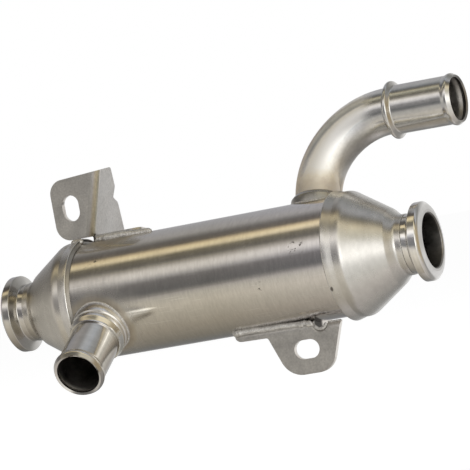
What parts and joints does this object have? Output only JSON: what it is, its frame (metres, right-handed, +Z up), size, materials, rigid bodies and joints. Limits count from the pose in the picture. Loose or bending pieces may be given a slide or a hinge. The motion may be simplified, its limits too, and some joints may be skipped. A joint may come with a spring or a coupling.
{
  "type": "egr cooler",
  "caption": "Stainless shell-and-tube exhaust gas cooler with flanged cone ends, a straight and a bent coolant pipe, and two slotted mounting brackets.",
  "frame": {"origin": "centre of the inlet flange's gas face, on the shell's axis", "axes": "+X along the shell from the inlet flange to the outlet flange, +Y away from the side with the straight coolant spigot, +Z up in the picture"},
  "size_m": [0.25, 0.112, 0.1357],
  "materials": {
    "turned_steel": "turned and lightly polished",
    "shell_steel": "brushed round the shell",
    "spun_steel": "satin, spun",
    "pipe_steel": "semi-polished tube",
    "bracket_steel": "matt pressed sheet",
    "weld_steel": "weld and braze metal as laid",
    "inner_steel": "plain, unseen"
  },
  "bodies": {
    "root": {"shell_tube": "shell_steel", "inlet_flange": "turned_steel", "outlet_flange": "turned_steel", "coolant_inlet_pipe": "pipe_steel", "coolant_outlet_pipe": "pipe_steel", "coolant_inlet_collar": "turned_steel", "coolant_outlet_collar": "turned_steel", "inlet_cone": "spun_steel", "outlet_cone": "spun_steel", "coolant_inlet_weld": "weld_steel", "coolant_outlet_weld": "weld_steel", "inlet_skirt_braze": "weld_steel", "outlet_skirt_braze": "weld_steel", "inlet_header": "inner_steel", "outlet_header": "inner_steel", "front_baffle": "inner_steel", "rear_baffle": "inner_steel", "upper_bracket": "bracket_steel", "lower_bracket": "bracket_steel", "upper_bracket_weld": "weld_steel", "lower_bracket_weld": "weld_steel", "gas_tube_01": "inner_steel", "gas_tube_02": "inner_steel", "gas_tube_03": "inner_steel", "gas_tube_04": "inner_steel", "gas_tube_05": "inner_steel", "gas_tube_06": "inner_steel", "gas_tube_07": "inner_steel", "gas_tube_08": "inner_steel", "gas_tube_09": "inner_steel", "gas_tube_10": "inner_steel", "gas_tube_11": "inner_steel", "gas_tube_12": "inner_steel", "gas_tube_13": "inner_steel", "gas_tube_14": "inner_steel", "gas_tube_15": "inner_steel", "gas_tube_16": "inner_steel", "gas_tube_17": "inner_steel", "gas_tube_18": "inner_steel", "gas_tube_19": "inner_steel"}
  },
  "joints": []
}
